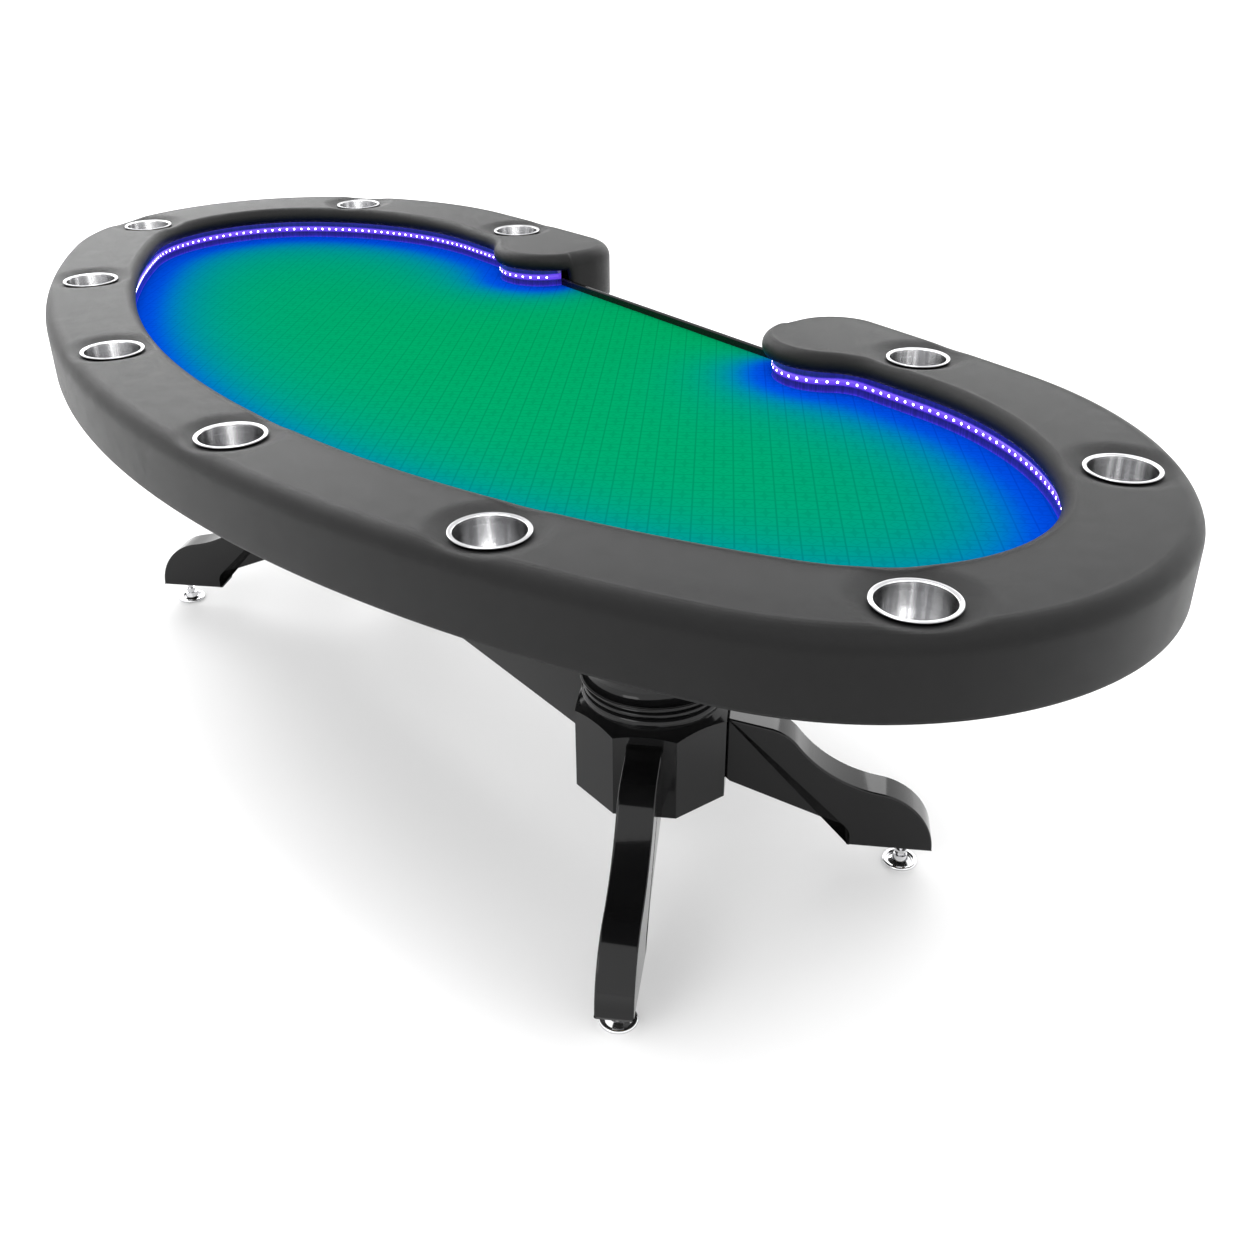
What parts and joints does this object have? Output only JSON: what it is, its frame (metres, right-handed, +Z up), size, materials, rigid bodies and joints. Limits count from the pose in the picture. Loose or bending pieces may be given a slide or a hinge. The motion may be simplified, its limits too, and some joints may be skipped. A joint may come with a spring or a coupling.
{
  "type": "poker table",
  "caption": "Oval poker table with a padded C-shaped armrest, a lit wall round a sunken cloth playing field, steel cup holders and two turned pedestals on S-shaped legs joined by a stretcher.",
  "frame": {"origin": "on the floor under the middle of the table", "axes": "+X along the table's length, +Y towards the dealer's side, +Z up from the floor"},
  "size_m": [2.5326, 1.1844, 0.766],
  "materials": {
    "black_vinyl": "satin, fine pebble grain",
    "upholstery_foam": "matte",
    "speed_cloth": null,
    "birch_plywood": "sanded",
    "sealed_fibreboard": "sealed, matte",
    "black_lacquer": "high gloss",
    "black_acrylic": "gloss",
    "dealer_edge": "gloss",
    "led_tape": "matte",
    "led_chip": "glowing, cool white",
    "cup_steel": "brushed",
    "zinc_steel": "zinc plated",
    "insert_brass": "plain",
    "foot_chrome": "polished",
    "knob_black": "matte",
    "controller_black": "fine texture",
    "rocker_red": "gloss",
    "cable_black": "satin",
    "clip_white": "matte"
  },
  "bodies": {
    "table": {"table_deck": "sealed_fibreboard", "playfield_board": "birch_plywood", "playfield_foam": "upholstery_foam", "speed_cloth": "speed_cloth", "wall_riser": "birch_plywood", "lit_wall": "black_acrylic", "led_strip": "led_tape", "led_chips": "led_chip", "armrest_board": "birch_plywood", "armrest_skirt": "birch_plywood", "armrest_foam": "upholstery_foam", "armrest_cover": "black_vinyl", "dealer_apron": "sealed_fibreboard", "dealer_lip": "dealer_edge", "armrest_knob_bolts": "knob_black", "armrest_inserts": "insert_brass", "mounting_plate_left": "black_lacquer", "mounting_plate_right": "black_lacquer", "mounting_screws": "zinc_steel", "column_left": "black_lacquer", "column_right": "black_lacquer", "block_left": "black_lacquer", "block_right": "black_lacquer", "tie_rod_left": "zinc_steel", "tie_rod_right": "zinc_steel", "tie_rod_nuts": "zinc_steel", "leg_front_left": "black_lacquer", "leg_back_left": "black_lacquer", "leg_front_right": "black_lacquer", "leg_back_right": "black_lacquer", "leg_bolts": "zinc_steel", "stretcher": "black_lacquer", "stretcher_bolts": "zinc_steel", "foot_inserts": "insert_brass", "controller_box": "controller_black", "controller_lid": "controller_black", "dc_inlet": "controller_black", "strip_feed_cable": "cable_black", "cable_clips": "clip_white"},
    "cup_1": {"cup_holder_1": "cup_steel"},
    "cup_2": {"cup_holder_2": "cup_steel"},
    "cup_3": {"cup_holder_3": "cup_steel"},
    "cup_4": {"cup_holder_4": "cup_steel"},
    "cup_5": {"cup_holder_5": "cup_steel"},
    "cup_6": {"cup_holder_6": "cup_steel"},
    "cup_7": {"cup_holder_7": "cup_steel"},
    "cup_8": {"cup_holder_8": "cup_steel"},
    "cup_9": {"cup_holder_9": "cup_steel"},
    "cup_10": {"cup_holder_10": "cup_steel"},
    "foot_1": {"foot_plate_1": "foot_chrome"},
    "stem_1": {"foot_stem_1": "zinc_steel"},
    "foot_2": {"foot_plate_2": "foot_chrome"},
    "stem_2": {"foot_stem_2": "zinc_steel"},
    "foot_3": {"foot_plate_3": "foot_chrome"},
    "stem_3": {"foot_stem_3": "zinc_steel"},
    "foot_4": {"foot_plate_4": "foot_chrome"},
    "stem_4": {"foot_stem_4": "zinc_steel"},
    "rocker": {"power_rocker": "rocker_red"}
  },
  "joints": [
    {"name": "cup_lift_1", "type": "slide", "parent": "table", "child": "cup_1", "axis": [0, 0, 1], "range_m": [0, 0.1]},
    {"name": "cup_lift_2", "type": "slide", "parent": "table", "child": "cup_2", "axis": [0, 0, 1], "range_m": [0, 0.1]},
    {"name": "cup_lift_3", "type": "slide", "parent": "table", "child": "cup_3", "axis": [0, 0, 1], "range_m": [0, 0.1]},
    {"name": "cup_lift_4", "type": "slide", "parent": "table", "child": "cup_4", "axis": [0, 0, 1], "range_m": [0, 0.1]},
    {"name": "cup_lift_5", "type": "slide", "parent": "table", "child": "cup_5", "axis": [0, 0, 1], "range_m": [0, 0.1]},
    {"name": "cup_lift_6", "type": "slide", "parent": "table", "child": "cup_6", "axis": [0, 0, 1], "range_m": [0, 0.1]},
    {"name": "cup_lift_7", "type": "slide", "parent": "table", "child": "cup_7", "axis": [0, 0, 1], "range_m": [0, 0.1]},
    {"name": "cup_lift_8", "type": "slide", "parent": "table", "child": "cup_8", "axis": [0, 0, 1], "range_m": [0, 0.1]},
    {"name": "cup_lift_9", "type": "slide", "parent": "table", "child": "cup_9", "axis": [0, 0, 1], "range_m": [0, 0.1]},
    {"name": "cup_lift_10", "type": "slide", "parent": "table", "child": "cup_10", "axis": [0, 0, 1], "range_m": [0, 0.1]},
    {"name": "foot_height_1", "type": "slide", "parent": "table", "child": "foot_1", "axis": [0, 0, 1], "range_m": [-0.02, 0.015]},
    {"name": "foot_turn_1", "type": "hinge", "parent": "foot_1", "child": "stem_1", "pos_m": [0.8126, -0.2756, 0.02], "axis": [0, 0, 1], "range_deg": [-4120, 3090]},
    {"name": "foot_height_2", "type": "slide", "parent": "table", "child": "foot_2", "axis": [0, 0, 1], "range_m": [-0.02, 0.015]},
    {"name": "foot_turn_2", "type": "hinge", "parent": "foot_2", "child": "stem_2", "pos_m": [0.8126, 0.3056, 0.02], "axis": [0, 0, 1], "range_deg": [-4120, 3090]},
    {"name": "foot_height_3", "type": "slide", "parent": "table", "child": "foot_3", "axis": [0, 0, 1], "range_m": [-0.02, 0.015]},
    {"name": "foot_turn_3", "type": "hinge", "parent": "foot_3", "child": "stem_3", "pos_m": [-0.8126, -0.2756, 0.02], "axis": [0, 0, 1], "range_deg": [-4120, 3090]},
    {"name": "foot_height_4", "type": "slide", "parent": "table", "child": "foot_4", "axis": [0, 0, 1], "range_m": [-0.02, 0.015]},
    {"name": "foot_turn_4", "type": "hinge", "parent": "foot_4", "child": "stem_4", "pos_m": [-0.8126, 0.3056, 0.02], "axis": [0, 0, 1], "range_deg": [-4120, 3090]},
    {"name": "rocker_tilt", "type": "hinge", "parent": "table", "child": "rocker", "pos_m": [0.095, 0.365, 0.646], "axis": [1, 0, 0], "range_deg": [0, 27]}
  ],
  "couplings": [
    {"joint": "foot_turn_1", "follows": "foot_height_1", "rad_per_m": 3590.4},
    {"joint": "foot_turn_2", "follows": "foot_height_2", "rad_per_m": 3590.4},
    {"joint": "foot_turn_3", "follows": "foot_height_3", "rad_per_m": 3590.4},
    {"joint": "foot_turn_4", "follows": "foot_height_4", "rad_per_m": 3590.4}
  ]
}
